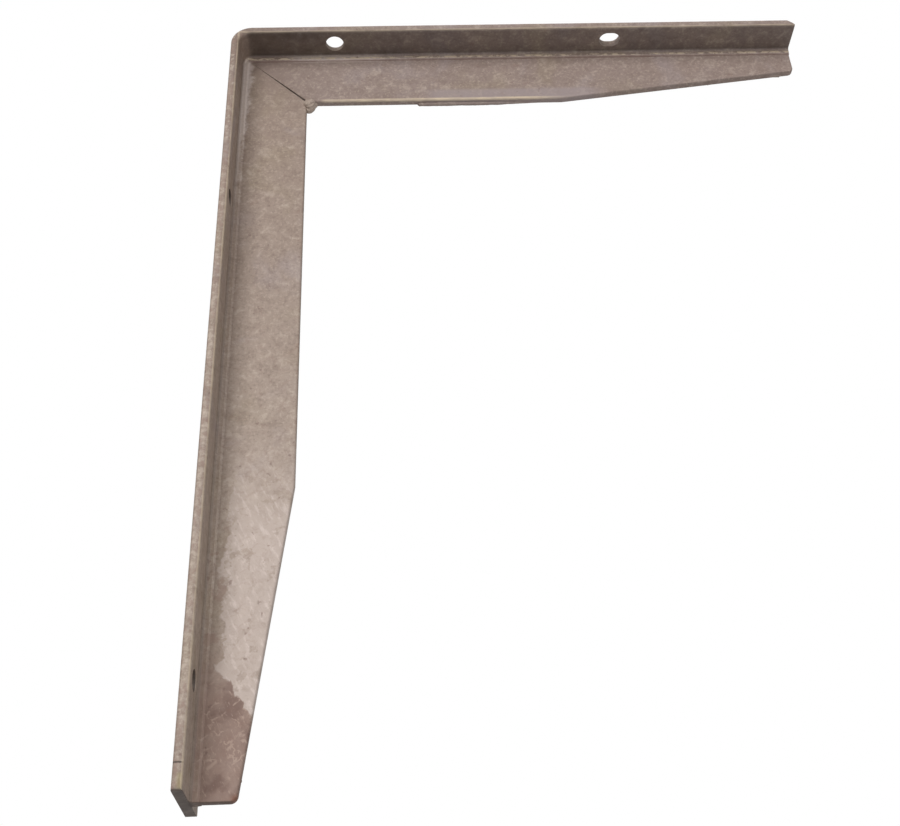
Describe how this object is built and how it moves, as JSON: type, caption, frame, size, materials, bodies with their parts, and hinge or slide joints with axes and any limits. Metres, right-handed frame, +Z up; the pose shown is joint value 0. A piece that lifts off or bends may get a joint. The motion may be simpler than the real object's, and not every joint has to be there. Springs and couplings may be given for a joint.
{
  "type": "shelf bracket",
  "caption": "L-shaped shelf bracket of galvanised steel tee bar, with tapered webs, a welded mitre and screw holes in both arms.",
  "frame": {"origin": "on the wall face, on the centre line of the web, half way between the two wall holes", "axes": "+X out from the wall along the shelf arm, +Z up to the shelf face, Y along the wall across the flange"},
  "size_m": [0.305, 0.0384, 0.41],
  "materials": {
    "galvanised_steel": "dull weathered hot-dip galvanising, brown-grey, with pale zinc bloom and rust spots"
  },
  "bodies": {
    "root": {"bracket": "galvanised_steel"}
  },
  "joints": []
}
